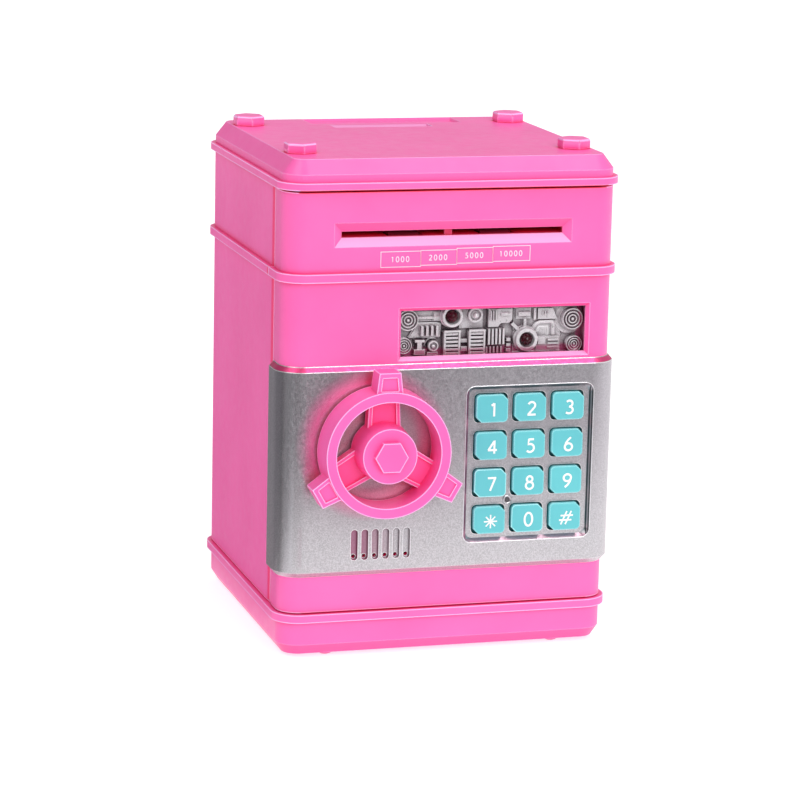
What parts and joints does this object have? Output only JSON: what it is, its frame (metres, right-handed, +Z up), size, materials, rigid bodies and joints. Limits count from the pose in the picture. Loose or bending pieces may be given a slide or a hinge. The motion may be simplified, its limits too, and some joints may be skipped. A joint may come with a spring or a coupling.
{
  "type": "toy safe coin bank",
  "caption": "Toy safe money bank: moulded case with a coin slot in its lid and a hinged front door with keypad, latch handwheel, display window and note feed slot.",
  "frame": {"origin": "middle of the floor area that the whole part covers, on the underside of the feet", "axes": "+Z up, +Y from the front door to the back, +X to the right of someone facing the door"},
  "size_m": [0.134, 0.1456, 0.1947],
  "materials": {
    "pink_shell": "moulded, satin gloss",
    "pink_inner": "moulded, matt",
    "silver_paint": "silver paint, fine metallic grain",
    "teal_keys": "moulded, satin, white numerals",
    "white_plastic": "moulded acetal, matt",
    "steel": "zinc plated",
    "brass": "machined",
    "black_rubber": "matt",
    "red_wire": "insulated stranded wire",
    "clear_window": "polished, clear",
    "led_red": "translucent dark red",
    "led_grey": "translucent grey",
    "circuit_green": "solder mask",
    "black_part": "matt",
    "cell": "printed sleeve",
    "speaker_grey": "matt",
    "solenoid_grey": "satin"
  },
  "bodies": {
    "case": {"base_tray": "pink_shell", "cavity_floor": "pink_inner", "feet": "pink_shell", "battery_cover": "pink_shell", "battery_screw": "steel", "batteries": "cell", "battery_contacts": "steel", "base_screws": "steel", "body_shell": "pink_shell", "strike_plate": "steel", "lid": "pink_shell", "lid_bolts": "pink_shell", "lid_screws": "steel", "hinge_pins": "steel", "battery_wire": "red_wire"},
    "door": {"door_front": "pink_shell", "silver_panel": "silver_paint", "door_inner_cover": "pink_inner", "cover_screws": "steel", "window_lens": "clear_window", "mechanism_panel": "silver_paint", "window_leds": "led_red", "status_led": "led_grey", "shaft_bushing": "white_plastic", "latch_guides": "white_plastic", "lock_solenoid": "solenoid_grey", "keypad_mat": "black_rubber", "circuit_board": "circuit_green", "board_components": "black_part", "speaker": "speaker_grey", "speaker_ring": "pink_inner", "note_chute": "pink_inner", "roller_brackets": "steel", "feed_motor": "steel", "note_sensor": "black_part", "door_wire": "red_wire"},
    "wheel": {"handwheel": "pink_shell", "wheel_shaft": "steel", "latch_pinion": "white_plastic"},
    "latch": {"latch_bar": "steel"},
    "plunger": {"solenoid_plunger": "steel"},
    "drive_roller": {"roller_shaft": "steel", "drive_rollers": "black_rubber", "roller_gear": "white_plastic"},
    "pinch_roller": {"pinch_shaft": "steel", "pinch_rollers": "black_rubber"},
    "motor_rotor": {"motor_pinion": "brass"},
    "button_1": {"key_1": "teal_keys"},
    "button_2": {"key_2": "teal_keys"},
    "button_3": {"key_3": "teal_keys"},
    "button_4": {"key_4": "teal_keys"},
    "button_5": {"key_5": "teal_keys"},
    "button_6": {"key_6": "teal_keys"},
    "button_7": {"key_7": "teal_keys"},
    "button_8": {"key_8": "teal_keys"},
    "button_9": {"key_9": "teal_keys"},
    "button_star": {"key_star": "teal_keys"},
    "button_0": {"key_0": "teal_keys"},
    "button_hash": {"key_hash": "teal_keys"}
  },
  "joints": [
    {"name": "door_hinge", "type": "hinge", "parent": "case", "child": "door", "pos_m": [0.06, -0.04245, 0.098], "axis": [0, 0, 1], "range_deg": [0, 110]},
    {"name": "wheel_turn", "type": "hinge", "parent": "door", "child": "wheel", "pos_m": [-0.0282, -0.05695, 0.0818], "axis": [0, -1, 0], "range_deg": [0, 90]},
    {"name": "latch_slide", "type": "slide", "parent": "door", "child": "latch", "axis": [-1, 0, 0], "range_m": [0, 0.0063]},
    {"name": "plunger_slide", "type": "slide", "parent": "door", "child": "plunger", "axis": [0, 1, 0], "range_m": [0, 0.003], "stiffness_N_per_m": 60},
    {"name": "drive_roller_turn", "type": "hinge", "parent": "door", "child": "drive_roller", "pos_m": [0, -0.04355, 0.15695], "axis": [1, 0, 0], "continuous": true},
    {"name": "pinch_roller_turn", "type": "hinge", "parent": "door", "child": "pinch_roller", "pos_m": [0, -0.04355, 0.16675], "axis": [1, 0, 0], "continuous": true},
    {"name": "motor_turn", "type": "hinge", "parent": "door", "child": "motor_rotor", "pos_m": [-0.04, -0.04355, 0.14835], "axis": [1, 0, 0], "continuous": true},
    {"name": "key_1_press", "type": "slide", "parent": "door", "child": "button_1", "axis": [0, 1, 0], "range_m": [0, 0.0012], "stiffness_N_per_m": 300},
    {"name": "key_2_press", "type": "slide", "parent": "door", "child": "button_2", "axis": [0, 1, 0], "range_m": [0, 0.0012], "stiffness_N_per_m": 300},
    {"name": "key_3_press", "type": "slide", "parent": "door", "child": "button_3", "axis": [0, 1, 0], "range_m": [0, 0.0012], "stiffness_N_per_m": 300},
    {"name": "key_4_press", "type": "slide", "parent": "door", "child": "button_4", "axis": [0, 1, 0], "range_m": [0, 0.0012], "stiffness_N_per_m": 300},
    {"name": "key_5_press", "type": "slide", "parent": "door", "child": "button_5", "axis": [0, 1, 0], "range_m": [0, 0.0012], "stiffness_N_per_m": 300},
    {"name": "key_6_press", "type": "slide", "parent": "door", "child": "button_6", "axis": [0, 1, 0], "range_m": [0, 0.0012], "stiffness_N_per_m": 300},
    {"name": "key_7_press", "type": "slide", "parent": "door", "child": "button_7", "axis": [0, 1, 0], "range_m": [0, 0.0012], "stiffness_N_per_m": 300},
    {"name": "key_8_press", "type": "slide", "parent": "door", "child": "button_8", "axis": [0, 1, 0], "range_m": [0, 0.0012], "stiffness_N_per_m": 300},
    {"name": "key_9_press", "type": "slide", "parent": "door", "child": "button_9", "axis": [0, 1, 0], "range_m": [0, 0.0012], "stiffness_N_per_m": 300},
    {"name": "key_star_press", "type": "slide", "parent": "door", "child": "button_star", "axis": [0, 1, 0], "range_m": [0, 0.0012], "stiffness_N_per_m": 300},
    {"name": "key_0_press", "type": "slide", "parent": "door", "child": "button_0", "axis": [0, 1, 0], "range_m": [0, 0.0012], "stiffness_N_per_m": 300},
    {"name": "key_hash_press", "type": "slide", "parent": "door", "child": "button_hash", "axis": [0, 1, 0], "range_m": [0, 0.0012], "stiffness_N_per_m": 300}
  ],
  "couplings": [
    {"joint": "latch_slide", "follows": "wheel_turn", "m_per_rad": 0.004},
    {"joint": "pinch_roller_turn", "follows": "drive_roller_turn", "ratio": -1.375},
    {"joint": "motor_turn", "follows": "drive_roller_turn", "ratio": -2.4}
  ]
}
